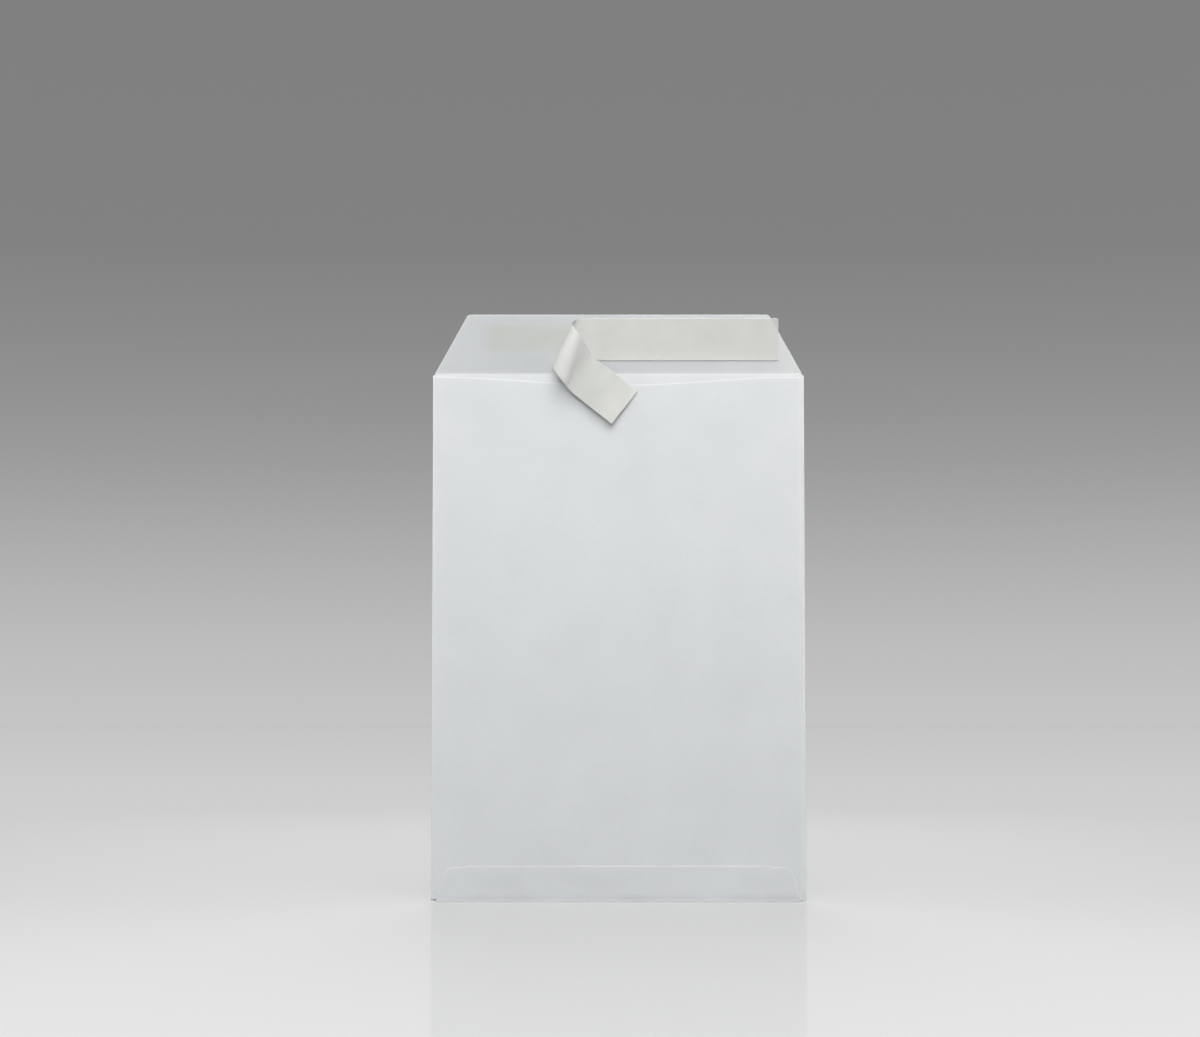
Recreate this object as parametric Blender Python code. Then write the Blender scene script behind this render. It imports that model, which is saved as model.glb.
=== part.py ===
"""A white C4 pocket envelope with a peel-and-seal flap, standing on its bottom fold.

The pocket is one sheet of paper. It is cut here at its creases, because a rigid piece
can't bend: front panel, left fold, back panel, right fold, side flap, bottom fold,
bottom flap and seal flap. Glue lines hold the side seam and the bottom seam. The seal flap
carries a strip of adhesive under a release liner. The liner's left half is peeled off
and curls over the body, as a row of flat lengths that hinge on slanted lines.

World axes: +X to the right as seen from the back of the envelope, where the flap closes,
-Y towards that viewer, +Z up. The origin is the middle of the bottom fold's underside.
"""

from math import cos, pi, radians, sin, tan

import bpy
from mathutils import Euler, Quaternion, Vector

# The pocket
WIDTH = 0.229
HEIGHT = 0.324
PAPER = 0.00014
GLUE_FILM = 0.00008
SPACE = 0.00025

# Creases: how far a fold's legs run past its bend, and the bottom fold's inner corners
FOLD_LEG = 0.0003
BOTTOM_CORNER = 0.0004

# The back panel's cut edges
THROAT_AT_ENDS = 0.0018
THROAT_IN_MIDDLE = 0.0068
BACK_RIGHT_INSET = 0.0022
BACK_FOOT = 0.0016

# The side flap, glued inside the back panel along the right edge
SIDE_FLAP_WIDTH = 0.014
SIDE_FLAP_END = 0.005
SIDE_FLAP_TAPER = 0.010
SIDE_GLUE_WIDTH = 0.005
SIDE_GLUE_INSET = 0.004

# The bottom flap, glued outside the back panel
BOTTOM_FLAP_HEIGHT = 0.022
BOTTOM_FLAP_FOOT_INSET = 0.003
BOTTOM_FLAP_TOP_INSET = 0.0085
BOTTOM_FLAP_CORNER = 0.003
SHOULDER_INSET = 0.022
SHOULDER_DROP = 0.0008
BOTTOM_GLUE_HEIGHT = 0.009
BOTTOM_GLUE_TOP_MARGIN = 0.004
BOTTOM_GLUE_END_MARGIN = 0.006

# The seal flap
SEAL_FLAP_DEPTH = 0.037
SEAL_FLAP_FOOT_INSET = 0.0013
SEAL_FLAP_TOP_INSET = 0.022
SEAL_FLAP_CORNER = 0.003
SEAL_FLAP_LEAN = radians(19)

# The adhesive strip and the release liner on the seal flap
ADHESIVE_WIDTH = 0.0218
ADHESIVE_HALF_LENGTH = 0.0895
ADHESIVE_TOP_MARGIN = 0.004
LINER = 0.00008
LINER_WIDTH = 0.0265
LINER_HALF_LENGTH = 0.0984
LINER_TOP_MARGIN = 0.0021
LINER_LIFT_X = -0.0163
TAIL_LENGTH = 0.086

# The tail's hinge lines: distance along the strip from where it lifts off, pitch between
# lines, slant from square across the strip, and angle turned in all
LIFT_AT = 0.002
LIFT_ANGLE = radians(14)
LOOP_AT = 0.0154
LOOP_PITCH = 0.0073
LOOP_LINES = 4
LOOP_SLANT = radians(26)
LOOP_ANGLE = radians(231)
RETURN_AFTER_LOOP = 0.0089
RETURN_PITCH = 0.0066
RETURN_LINES = 2
RETURN_SLANT = radians(6)
RETURN_ANGLE = radians(68)

ARC_STEPS = 6
THROAT_STEPS = 28

# Depths behind the front panel, towards the viewer, of each layer's middle
SIDE_FLAP_LEVEL = PAPER + SPACE
SIDE_GLUE_LEVEL = SIDE_FLAP_LEVEL + PAPER / 2 + SPACE + GLUE_FILM / 2
BACK_LEVEL = SIDE_GLUE_LEVEL + GLUE_FILM / 2 + SPACE + PAPER / 2
BOTTOM_GLUE_LEVEL = BACK_LEVEL + PAPER / 2 + SPACE + GLUE_FILM / 2
BOTTOM_FLAP_LEVEL = BOTTOM_GLUE_LEVEL + GLUE_FILM / 2 + SPACE + PAPER / 2

# Heights of the seal flap's layers over its own middle
ADHESIVE_LEVEL = PAPER / 2 + SPACE + GLUE_FILM / 2
LINER_LEVEL = ADHESIVE_LEVEL + GLUE_FILM / 2 + SPACE + LINER / 2

# The seal flap turns about a line halfway between the front panel and where the flap
# lies when it is closed, one space clear of the back panel with the liner between them
CLOSED_STACK = BACK_LEVEL + PAPER / 2 + SPACE + LINER / 2 + LINER_LEVEL
FLAP_AXIS_LEVEL = CLOSED_STACK / 2

# Where the flat panels start and end between the folds
LEFT_FOLD_REACH = (PAPER + BACK_LEVEL) / 2 + FOLD_LEG
RIGHT_FOLD_REACH = (PAPER + SIDE_FLAP_LEVEL) / 2 + FOLD_LEG
BOTTOM_FOLD_REACH = PAPER / 2 + BOTTOM_CORNER + FOLD_LEG
PANEL_LEFT = -WIDTH / 2 + LEFT_FOLD_REACH + SPACE
PANEL_RIGHT = WIDTH / 2 - RIGHT_FOLD_REACH - SPACE
PANEL_FOOT = BOTTOM_FOLD_REACH + SPACE

COLLECTION = "envelope"


def clear_scene():
    """Remove every object and leave one empty collection named for the object."""
    for old in list(bpy.data.objects):
        bpy.data.objects.remove(old, do_unlink=True)
    group = bpy.data.collections.new(COLLECTION)
    bpy.context.scene.collection.children.link(group)
    return group


def matte(name, colour, roughness):
    """A plain non-metal material with the piece's own colour."""
    material = bpy.data.materials.new(name)
    material.use_nodes = True
    shader = material.node_tree.nodes["Principled BSDF"]
    shader.inputs["Base Color"].default_value = (*colour, 1.0)
    shader.inputs["Roughness"].default_value = roughness
    shader.inputs["Metallic"].default_value = 0.0
    return material


def place(piece, parent, location, rotation=None):
    """Put an object in the collection at a place in its parent's frame."""
    group.objects.link(piece)
    piece.parent = parent
    piece.location = location
    if rotation is not None:
        piece.rotation_mode = "QUATERNION"
        piece.rotation_quaternion = rotation
    return piece


def frame(name, parent, location, rotation=None):
    """An empty that carries other pieces. Its z points out of the sheet it carries."""
    empty = bpy.data.objects.new(name, None)
    empty.empty_display_size = 0.01
    return place(empty, parent, location, rotation)


def prism(name, outline, thickness, material, parent, location, rotation=None):
    """A flat outline, filled and given a thickness about its own plane."""
    curve = bpy.data.curves.new(name, "CURVE")
    curve.dimensions = "2D"
    curve.fill_mode = "BOTH"
    curve.extrude = thickness / 2
    spline = curve.splines.new("POLY")
    spline.points.add(len(outline) - 1)
    for point, (x, y) in zip(spline.points, outline):
        point.co = (x, y, 0.0, 1.0)
    spline.use_cyclic_u = True
    curve.materials.append(material)
    return place(bpy.data.objects.new(name, curve), parent, location, rotation)


def rounded(corners, radii):
    """The polygon through the corners, each turned into an arc of its radius (0 leaves it sharp)."""
    outline = []
    for index, (corner, radius) in enumerate(zip(corners, radii)):
        here = Vector(corner)
        before = (Vector(corners[index - 1]) - here).normalized()
        after = (Vector(corners[(index + 1) % len(corners)]) - here).normalized()
        if radius == 0:
            outline.append(tuple(here))
            continue
        half = before.angle(after) / 2
        centre = here + (before + after).normalized() * radius / sin(half)
        start = here + before * radius / tan(half) - centre
        end = here + after * radius / tan(half) - centre
        turn = start.angle_signed(end)
        for step in range(ARC_STEPS + 1):
            # Vector.angle_signed is clockwise-positive, so the start is turned by minus that
            angle = -turn * step / ARC_STEPS
            outline.append((
                centre.x + start.x * cos(angle) - start.y * sin(angle),
                centre.y + start.x * sin(angle) + start.y * cos(angle),
            ))
    return outline


def mirrored(half):
    """A closed outline from its right half, listed upwards."""
    return half + [(-x, y) for x, y in reversed(half)]


def fold_section(span, corner):
    """A crease's cross-section: two legs up from a bend, each span apart at their middles.

    The bend is a flat with two quarter rounds of the given middle radius, which meet
    as one half round where the radius is half the span. x runs across, y up, and the
    underside is at y = 0.
    """
    def one_side(offset):
        """Points from the left leg's top round to the right leg's top, offset outwards."""
        radius = corner + offset
        centre_y = PAPER / 2 + corner
        points = [(-offset, centre_y + FOLD_LEG)]
        for centre_x, first in ((corner, pi), (span - corner, 1.5 * pi)):
            for step in range(ARC_STEPS + 1):
                angle = first + pi / 2 * step / ARC_STEPS
                point = (centre_x + radius * cos(angle), centre_y + radius * sin(angle))
                if (Vector(point) - Vector(points[-1])).length > SPACE / 100:
                    points.append(point)
        points.append((span + offset, centre_y + FOLD_LEG))
        return points

    return one_side(PAPER / 2) + one_side(-PAPER / 2)[::-1]


def make_panels(body, paper):
    """The front panel, and the back panel with its scooped throat."""
    front = [
        (PANEL_LEFT, PANEL_FOOT),
        (PANEL_RIGHT, PANEL_FOOT),
        (PANEL_RIGHT, HEIGHT - SPACE / 2),
        (PANEL_LEFT, HEIGHT - SPACE / 2),
    ]
    prism("front_panel", front, PAPER, paper, body, (0, 0, 0))

    back_right = WIDTH / 2 - BACK_RIGHT_INSET
    back = [(PANEL_LEFT, BACK_FOOT), (back_right, BACK_FOOT)]
    for step in range(THROAT_STEPS + 1):
        x = back_right + (PANEL_LEFT - back_right) * step / THROAT_STEPS
        scoop = cos(pi * x / WIDTH) ** 2
        drop = THROAT_AT_ENDS + (THROAT_IN_MIDDLE - THROAT_AT_ENDS) * scoop
        back.append((x, HEIGHT - drop))
    prism("back_panel", back, PAPER, paper, body, (0, 0, BACK_LEVEL))


def make_side_folds(body, paper):
    """The creases up both sides: front to back on the left, front to side flap on the right."""
    foot = BACK_FOOT
    top = HEIGHT - THROAT_AT_ENDS
    upright = Euler((-pi / 2, 0, 0)).to_quaternion()
    middle = (foot + top) / 2
    # In a section turned upright, x is the envelope's x and y runs away from the viewer
    left = [(y, -x) for x, y in fold_section(BACK_LEVEL, BACK_LEVEL / 2)]
    prism("left_fold", left, top - foot, paper, body, (-WIDTH / 2, middle, 0), upright)
    right = [(-y, -x) for x, y in fold_section(SIDE_FLAP_LEVEL, SIDE_FLAP_LEVEL / 2)]
    prism("right_fold", right, top - foot, paper, body, (WIDTH / 2, middle, 0), upright)


def make_side_flap(body, paper, glue):
    """The tapered flap inside the right edge, and the line of glue between it and the back panel."""
    inner = PANEL_RIGHT - SIDE_FLAP_WIDTH
    low = SIDE_FLAP_END
    high = HEIGHT - THROAT_IN_MIDDLE - SIDE_FLAP_END
    flap = [
        (PANEL_RIGHT, low),
        (PANEL_RIGHT, high),
        (inner, high - SIDE_FLAP_TAPER),
        (inner, low + SIDE_FLAP_TAPER),
    ]
    prism("side_flap", flap, PAPER, paper, body, (0, 0, SIDE_FLAP_LEVEL))
    glue_right = WIDTH / 2 - BACK_RIGHT_INSET - SIDE_GLUE_INSET
    glue_left = glue_right - SIDE_GLUE_WIDTH
    line = [
        (glue_left, low + SIDE_FLAP_TAPER),
        (glue_right, low + SIDE_FLAP_TAPER),
        (glue_right, high - SIDE_FLAP_TAPER),
        (glue_left, high - SIDE_FLAP_TAPER),
    ]
    prism("side_seam_glue", line, GLUE_FILM, glue, body, (0, 0, SIDE_GLUE_LEVEL))


def make_bottom(body, paper, glue):
    """The bottom fold with its flat underside, the flap up the back, and its glue."""
    foot_half = WIDTH / 2 - BOTTOM_FLAP_FOOT_INSET
    along = Euler((0, pi / 2, 0)).to_quaternion()
    # In a section laid along x, x runs away from the viewer and y is up
    section = [(-x, y) for x, y in fold_section(BOTTOM_FLAP_LEVEL, BOTTOM_CORNER)]
    prism("bottom_fold", section, 2 * foot_half, paper, body, (0, 0, 0), along)

    top_half = WIDTH / 2 - BOTTOM_FLAP_TOP_INSET
    shoulder_half = WIDTH / 2 - SHOULDER_INSET
    shoulder = BOTTOM_FLAP_HEIGHT - SHOULDER_DROP
    half = [
        (foot_half, PANEL_FOOT),
        (top_half, shoulder),
        (shoulder_half, shoulder),
        (shoulder_half - SHOULDER_DROP, BOTTOM_FLAP_HEIGHT),
    ]
    flap = rounded(mirrored(half), [0, BOTTOM_FLAP_CORNER, 0, 0, 0, 0, BOTTOM_FLAP_CORNER, 0])
    prism("bottom_flap", flap, PAPER, paper, body, (0, 0, BOTTOM_FLAP_LEVEL))

    glue_top = shoulder - BOTTOM_GLUE_TOP_MARGIN
    glue_half = top_half - BOTTOM_GLUE_END_MARGIN
    line = mirrored([(glue_half, glue_top - BOTTOM_GLUE_HEIGHT), (glue_half, glue_top)])
    prism("bottom_seam_glue", line, GLUE_FILM, glue, body, (0, 0, BOTTOM_GLUE_LEVEL))


def make_seal_flap(sheet, paper, adhesive, liner):
    """The seal flap, its adhesive strip, and the part of the liner still stuck down."""
    foot = SPACE
    top = SEAL_FLAP_DEPTH
    half = [
        (WIDTH / 2 - SEAL_FLAP_FOOT_INSET, foot),
        (WIDTH / 2 - SEAL_FLAP_TOP_INSET, top),
    ]
    flap = rounded(mirrored(half), [0, SEAL_FLAP_CORNER, SEAL_FLAP_CORNER, 0])
    prism("seal_flap", flap, PAPER, paper, sheet, (0, 0, 0))

    band_top = top - ADHESIVE_TOP_MARGIN
    band_foot = band_top - ADHESIVE_WIDTH
    band = mirrored([(ADHESIVE_HALF_LENGTH, band_foot), (ADHESIVE_HALF_LENGTH, band_top)])
    prism("seal_adhesive", band, GLUE_FILM, adhesive, sheet, (0, 0, ADHESIVE_LEVEL))

    liner_top = top - LINER_TOP_MARGIN
    stuck_left = LINER_LIFT_X - LIFT_AT + SPACE / 2
    stuck = [
        (stuck_left, liner_top - LINER_WIDTH),
        (LINER_HALF_LENGTH, liner_top - LINER_WIDTH),
        (LINER_HALF_LENGTH, liner_top),
        (stuck_left, liner_top),
    ]
    prism("release_liner", stuck, LINER, liner, sheet, (0, 0, LINER_LEVEL))


def tail_lines():
    """Each hinge line of the tail: distance along the strip, slant, and angle turned at it."""
    lines = [(LIFT_AT, 0.0, LIFT_ANGLE)]
    for index in range(LOOP_LINES):
        lines.append((LOOP_AT + LOOP_PITCH * index, LOOP_SLANT, LOOP_ANGLE / LOOP_LINES))
    first_return = LOOP_AT + LOOP_PITCH * (LOOP_LINES - 1) + RETURN_AFTER_LOOP
    for index in range(RETURN_LINES):
        along = first_return + RETURN_PITCH * index
        lines.append((along, RETURN_SLANT, -RETURN_ANGLE / RETURN_LINES))
    return lines


def make_tail(sheet, liner):
    """The peeled half of the liner: flat lengths, each hinged to the one before it.

    Strip positions are measured in the flat strip, where x is minus the distance along
    it and y runs up it from its middle line. A hinge line crosses that middle at its own
    distance and leans by its slant, its upper end to the right.
    """
    lines = tail_lines()
    half = LINER_WIDTH / 2
    middle = SEAL_FLAP_DEPTH - LINER_TOP_MARGIN - half
    parent = sheet
    corner = Vector((LINER_LIFT_X, middle, LINER_LEVEL))
    for index, (along, slant, angle) in enumerate(lines):
        here = Vector((LINER_LIFT_X - along, middle, LINER_LEVEL))
        start = here if parent is sheet else here - corner
        leaning = Vector((sin(slant), cos(slant), 0))
        turned = Quaternion(leaning, angle)
        hinge = frame(f"liner_tail_hinge_{index + 1}", parent, start, turned)
        # This length's right edge lies along its own hinge line, its left edge along the next
        clear = SPACE / 2 / cos(slant)
        right = [(-clear + y * tan(slant), y) for y in (half, -half)]
        if index + 1 < len(lines):
            next_along, next_slant, _ = lines[index + 1]
            clear = SPACE / 2 / cos(next_slant)
            reach = next_along - along - clear
            left = [(-reach + y * tan(next_slant), y) for y in (-half, half)]
        else:
            left = [(along - TAIL_LENGTH, y) for y in (-half, half)]
        prism(f"liner_tail_{index + 1}", right + left, LINER, liner, hinge, (0, 0, 0))
        parent = hinge
        corner = here


group = clear_scene()
paper_white = matte("white_wove_paper", (0.74, 0.76, 0.78), 0.8)
glue_clear = matte("dried_seam_glue", (0.70, 0.70, 0.66), 0.5)
adhesive_clear = matte("peel_and_seal_adhesive", (0.60, 0.62, 0.61), 0.35)
liner_paper = matte("siliconed_liner_paper", (0.69, 0.70, 0.65), 0.45)

# The body's frame stands upright: x right, y up, z out towards the viewer
upright = Euler((pi / 2, 0, 0)).to_quaternion()
body_frame = frame("folded_body", None, (0, BOTTOM_FLAP_LEVEL / 2, 0), upright)
make_panels(body_frame, paper_white)
make_side_folds(body_frame, paper_white)
make_side_flap(body_frame, paper_white, glue_clear)
make_bottom(body_frame, paper_white, glue_clear)

# The flap's hinge leans forward, and its sheet stands behind that line as the front panel does
leaning = Quaternion((1, 0, 0), SEAL_FLAP_LEAN)
flap_hinge = frame("seal_flap_hinge", body_frame, (0, HEIGHT, FLAP_AXIS_LEVEL), leaning)
flap_sheet = frame("seal_flap_sheet", flap_hinge, (0, 0, -FLAP_AXIS_LEVEL))
make_seal_flap(flap_sheet, paper_white, adhesive_clear, liner_paper)
make_tail(flap_sheet, liner_paper)
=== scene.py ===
"""A white C4 pocket envelope with its seal flap open and the release liner half peeled off.

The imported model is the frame. Each section below is one real piece, in the order in which
the envelope is made: the folded paper blank, the glue in its two seams, the strip of
adhesive on the flap, the release liner over it, and the liner's peeled half. The last
sections are the studio.

Lengths are in millimetres until put_mesh turns them to metres. The studio's are in metres.
"""

import bmesh
import bpy
import numpy as np
from math import atan, cos, pi, radians, sin, tan
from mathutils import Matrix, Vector


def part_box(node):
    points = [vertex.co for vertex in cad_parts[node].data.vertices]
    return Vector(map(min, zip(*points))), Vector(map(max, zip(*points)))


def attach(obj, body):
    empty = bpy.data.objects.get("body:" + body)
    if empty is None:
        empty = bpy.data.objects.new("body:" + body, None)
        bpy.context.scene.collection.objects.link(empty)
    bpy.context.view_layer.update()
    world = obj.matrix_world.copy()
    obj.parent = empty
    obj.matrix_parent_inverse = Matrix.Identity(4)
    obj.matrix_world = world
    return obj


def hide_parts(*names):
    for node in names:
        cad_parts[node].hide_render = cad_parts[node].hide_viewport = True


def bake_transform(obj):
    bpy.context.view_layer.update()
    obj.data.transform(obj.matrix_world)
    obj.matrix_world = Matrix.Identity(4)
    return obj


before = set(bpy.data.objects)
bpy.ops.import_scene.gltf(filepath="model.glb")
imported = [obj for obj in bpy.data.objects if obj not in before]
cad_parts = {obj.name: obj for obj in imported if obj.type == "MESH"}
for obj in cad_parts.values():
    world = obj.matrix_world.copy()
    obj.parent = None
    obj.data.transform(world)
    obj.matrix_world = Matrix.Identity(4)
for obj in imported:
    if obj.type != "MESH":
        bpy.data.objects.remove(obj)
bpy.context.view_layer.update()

# The paper blank: front panel, back panel, side flap, bottom flap and seal flap.
# One sheet of smooth white wove paper, 0.14 mm thick, die-cut, then folded round both
# sides, up over the bottom edge and forward at the top crease, where the flap hinges.
MM = 0.001
WIDTH = 229.0
HEIGHT = 324.0
PAPER = 0.14
front_low, front_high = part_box("front_panel")
FRONT_Y = (front_low.y + front_high.y) / 2 / MM

# How far the pocket's layers stand out from the front panel
POCKET_DEPTH = 1.11
LEFT_FOLD_SPAN = 0.50
RIGHT_FOLD_SPAN = 0.30
SEAM_LEVEL = 0.53
EDGE_SWELL = 4.5
SIDE_FLAP_GAP = 0.05
BOTTOM_FLAP_GAP = 0.06

# Where the panels, the side flap and the folds end
BACK_RIGHT_X = 112.3
BACK_FOOT = 1.6
FRONT_FOOT = 0.9
FOLD_TOP = 322.2
FRONT_TOP = 323.2
THROAT_AT_ENDS = 1.8
THROAT_IN_MIDDLE = 6.8
SIDE_FLAP_INNER_X = 99.9
SIDE_FLAP_FOOT = 15.0
SIDE_FLAP_TOP = 302.2
SIDE_FLAP_TAPER = 10.0
TAPER_END_X = BACK_RIGHT_X + 0.9

# The height of the two waves in the back panel, and how near its edges they die out
LONG_WAVE = 0.16
SHORT_WAVE = 0.08
CALM_AT_SIDES = 12.0
CALM_AT_FOOT = 25.0
CALM_AT_TOP = 30.0

# The bottom flap, with a small step down at each shoulder of its top edge
BOTTOM_CORNER = 0.4
BOTTOM_FOOT_HALF = 111.5
BOTTOM_TOP_HALF = 105.2
BOTTOM_FLAP_TOP = 22.0
BOTTOM_CORNER_RADIUS = 6.0
SHOULDER_DROP = 0.8
SHOULDER_X = 92.1

# The seal flap, which leans towards the viewer above its crease
CREASE_Z = 323.6
FLAP_ORIGIN = np.array((0.0, 0.856, 324.352))
FLAP_LEAN = radians(19)
FLAP_UP = np.array((0.0, -sin(FLAP_LEAN), cos(FLAP_LEAN)))
FLAP_OUT = np.array((0.0, -cos(FLAP_LEAN), -sin(FLAP_LEAN)))
FLAP_FOOT = 0.27
FLAP_FOOT_HALF = 113.2
FLAP_DEPTH = 37.0
FLAP_TOP_HALF = 92.5
CORNER_RADIUS = 3.0

# How far apart the mesh's rows and columns are
PANEL_PITCH = 2.9
SIDE_FLAP_PITCH = 2.5
SEAL_FLAP_PITCH = 2.4
BOTTOM_FLAP_PITCH = 2.0


def linear(hex_colour):
    """An sRGB hex colour as linear red, green, blue and alpha."""
    levels = [int(hex_colour[i:i + 2], 16) / 255 for i in (0, 2, 4)]
    rgb = [v / 12.92 if v <= 0.04045 else ((v + 0.055) / 1.055) ** 2.4 for v in levels]
    return (*rgb, 1.0)


def add_node(tree, kind, inputs, **settings):
    """Add a node with its settings. Each input is a value, or the socket that is linked to it."""
    made = tree.nodes.new(kind)
    for key, value in settings.items():
        setattr(made, key, value)
    for key, value in inputs.items():
        if isinstance(value, bpy.types.NodeSocket):
            tree.links.new(value, made.inputs[key])
        else:
            made.inputs[key].default_value = value
    return made


def grid_faces(rows, columns, first=0):
    """The quads of a grid whose points are listed row by row, wound columns before rows."""
    index = np.arange(first, first + rows * columns).reshape(rows, columns)
    corners = (index[:-1, :-1], index[:-1, 1:], index[1:, 1:], index[1:, :-1])
    return np.stack(corners, axis=-1).reshape(-1, 4)


def put_mesh(name, grids, material, thickness, tones=None):
    """One object from grids of points, rows by columns by xyz in mm.

    Points that grids share are merged, and the sheet gets its thickness half to each side.
    tones are arrays of the same rows and columns: how much lighter or darker than plain
    the sheet is at each point.
    """
    points = np.concatenate([grid.reshape(-1, 3) for grid in grids]) * MM
    faces = []
    first = 0
    for grid in grids:
        faces.append(grid_faces(*grid.shape[:2], first))
        first += grid.shape[0] * grid.shape[1]
    mesh = bpy.data.meshes.new(name)
    mesh.from_pydata(points.tolist(), [], np.concatenate(faces).tolist())
    if tones is not None:
        tone = mesh.attributes.new("tone", "FLOAT", "POINT")
        values = [np.broadcast_to(t, g.shape[:2]).ravel() for t, g in zip(tones, grids)]
        tone.data.foreach_set("value", np.concatenate(values).astype(np.float32))
    work = bmesh.new()
    work.from_mesh(mesh)
    bmesh.ops.remove_doubles(work, verts=work.verts, dist=0.001 * MM)
    work.to_mesh(mesh)
    work.free()
    mesh.polygons.foreach_set("use_smooth", np.ones(len(mesh.polygons), dtype=bool))
    mesh.materials.append(material)
    piece = bpy.data.objects.new(name, mesh)
    bpy.context.scene.collection.objects.link(piece)
    shell = piece.modifiers.new("sheet", "SOLIDIFY")
    shell.thickness = thickness * MM
    shell.offset = 0.0
    return piece


def fine_ends(start, stop, pitch):
    """Places from start to stop about pitch apart, and closer in the last 2.6 mm at both ends."""
    near = np.array((0.0, 0.3, 0.6, 1.0, 1.6, 2.6))
    length = abs(stop - start)
    count = max(2, round((length - 2 * near[-1]) / pitch) + 1)
    middle = np.linspace(near[-1], length - near[-1], count)
    places = np.concatenate((near[:-1], middle, length - near[-2::-1]))
    return start + places * np.sign(stop - start)


def glow(distance, reach):
    """1 at a line and falling off exponentially with the distance from it."""
    return np.exp(-np.abs(distance) / reach)


def upright(x, z, out):
    """Points of the pocket: x along it, z up it, and out to the viewer from the front panel."""
    x, z, out = np.broadcast_arrays(x, z, out)
    return np.stack((x, FRONT_Y - out, z), axis=-1)


def on_flap(x, up, out):
    """Points of the open flap: x along it, up from its crease, and out from its sheet's middle."""
    x, up, out = np.broadcast_arrays(x, up, out)
    along = x[..., None] * np.array((1.0, 0.0, 0.0))
    return FLAP_ORIGIN + along + up[..., None] * FLAP_UP + out[..., None] * FLAP_OUT


def back_level(x, z):
    """How far the back panel stands off the front panel.

    It leaves the left fold and the right seam low and swells exponentially to the pocket's
    depth. Two shallow sine waves that the paper keeps from its roll are added: one 150 mm
    long, nearly up the panel, and one 96 mm long, nearly across it.
    """
    from_left, from_right = x + WIDTH / 2, BACK_RIGHT_X - x
    swell = POCKET_DEPTH
    swell = swell - (POCKET_DEPTH - LEFT_FOLD_SPAN) * np.exp(-from_left / EDGE_SWELL)
    swell = swell - (POCKET_DEPTH - SEAM_LEVEL) * np.exp(-from_right / EDGE_SWELL)
    long_wave = LONG_WAVE * np.sin(2 * pi * (z / 150 + x / 410) + 0.4)
    short_wave = SHORT_WAVE * np.sin(2 * pi * (x / 96 - z / 260) + 1.9)
    inside = (1 - glow(from_left, CALM_AT_SIDES)) * (1 - glow(from_right, CALM_AT_SIDES))
    settled = (1 - glow(z, CALM_AT_FOOT)) * (1 - glow(HEIGHT - z, CALM_AT_TOP))
    return swell + (long_wave + short_wave) * inside * settled


def throat(x):
    """The scooped top edge of the back panel: a cosine squared, lowest in the middle."""
    scoop = THROAT_IN_MIDDLE - THROAT_AT_ENDS
    return HEIGHT - THROAT_AT_ENDS - scoop * np.cos(pi * x / WIDTH) ** 2


def flap_top(foot_half, top_half, foot, top, corner_radius, straight):
    """A flap's top edge from right to left: up a rounded corner, along the top, down the other.

    Each corner is an arc that touches the slanted side and the top. straight holds the
    columns between the corners, from 1 at the right one to -1 at the left one.
    """
    slope = atan((foot_half - top_half) / (top - foot))
    reach = corner_radius * tan((pi / 2 - slope) / 2)
    centre_x = top_half - reach
    angle = np.linspace(slope, pi / 2, 8)
    arc_x = centre_x + corner_radius * np.cos(angle)
    arc_y = top - corner_radius + corner_radius * np.sin(angle)
    x = np.concatenate((arc_x[:-1], centre_x * straight, -arc_x[-2::-1]))
    y = np.concatenate((arc_y[:-1], np.full(straight.shape, top), arc_y[-2::-1]))
    return x, y


# The bottom flap, the front panel and the seal flap share their columns, from right to left,
# with a close pair of them at each of the bottom flap's shoulders
shoulder = np.array((0.882, 0.894))
straight = np.concatenate((np.linspace(-1, 1, 67), shoulder, -shoulder))
straight = np.unique(straight)[::-1]
seal_top_x, seal_top_up = flap_top(
    FLAP_FOOT_HALF, FLAP_TOP_HALF, FLAP_FOOT, FLAP_DEPTH, CORNER_RADIUS, straight
)
shoulder_z = BOTTOM_FLAP_TOP - SHOULDER_DROP
bottom_top_x, bottom_top_z = flap_top(
    BOTTOM_FOOT_HALF, BOTTOM_TOP_HALF, BOTTOM_CORNER, shoulder_z, BOTTOM_CORNER_RADIUS, straight
)
bottom_top_z = bottom_top_z + SHOULDER_DROP * (np.abs(bottom_top_x) < SHOULDER_X)
crest_x = seal_top_x * FLAP_FOOT_HALF / seal_top_x[0]
foot_x = bottom_top_x * BOTTOM_FOOT_HALF / bottom_top_x[0]

# The wrap: side flap, right fold, front panel, left fold and back panel, as one profile
# round the pocket carried up its height. Rows run up, columns run round
rise = fine_ends(0.0, HEIGHT, PANEL_PITCH)[:, None] / HEIGHT


def wrap_part(x, level, low, high):
    """A part of the wrap: its profile, carried from its low edge to its high edge."""
    z = low + (high - low) * rise
    level = level(x, z) if callable(level) else level
    return upright(x + 0 * z, z, level + 0 * z)


def side_flap_level(x, z):
    """The side flap lies against the back panel's inner face and runs down into the right fold."""
    against = back_level(np.minimum(x, BACK_RIGHT_X), z) - PAPER - SIDE_FLAP_GAP
    room = WIDTH / 2 - BACK_RIGHT_X - RIGHT_FOLD_SPAN / 2
    into_fold = np.clip((x - BACK_RIGHT_X) / room, 0, 1)
    return against + (RIGHT_FOLD_SPAN - against) * into_fold


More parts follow.
